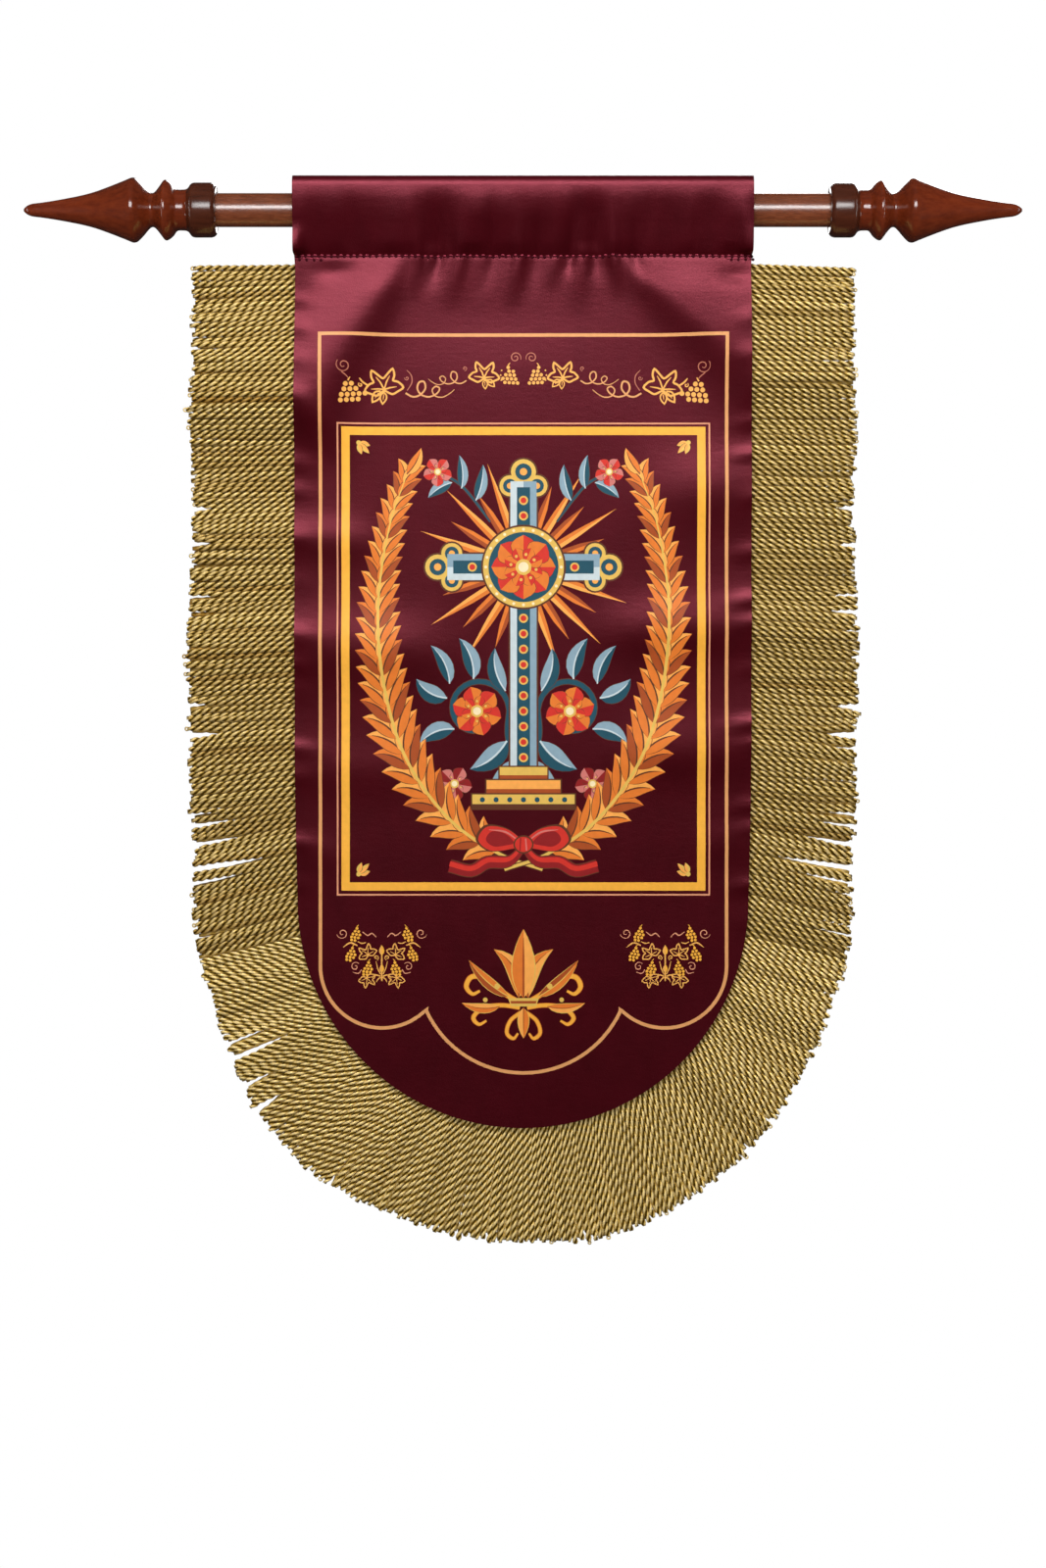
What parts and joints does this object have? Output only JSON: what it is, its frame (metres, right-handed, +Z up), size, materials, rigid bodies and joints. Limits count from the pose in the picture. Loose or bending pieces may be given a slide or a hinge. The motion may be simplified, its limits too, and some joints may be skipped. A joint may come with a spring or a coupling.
{
  "type": "church banner with hanging rod",
  "caption": "Satin banner with a round foot and a rod pocket, twisted-cord fringe along its sides and foot, hung on a wooden rod with turned finials.",
  "frame": {"origin": "middle of the rod's axis, where the banner is held up", "axes": "+Z up, -Y out of the banner's front, +X to the viewer's right along the rod"},
  "size_m": [0.839, 0.054, 0.8989],
  "materials": {
    "banner_cloth": "printed wine-red satin",
    "fringe_cord": "twisted old-gold cord",
    "rod_wood": "varnished brown wood",
    "finial_wood": "polished red-brown wood"
  },
  "bodies": {
    "root": {"panel": "banner_cloth", "fringe_left": "fringe_cord", "fringe_right": "fringe_cord", "fringe_foot": "fringe_cord", "rod": "rod_wood", "finial_left": "finial_wood", "finial_right": "finial_wood"}
  },
  "joints": []
}
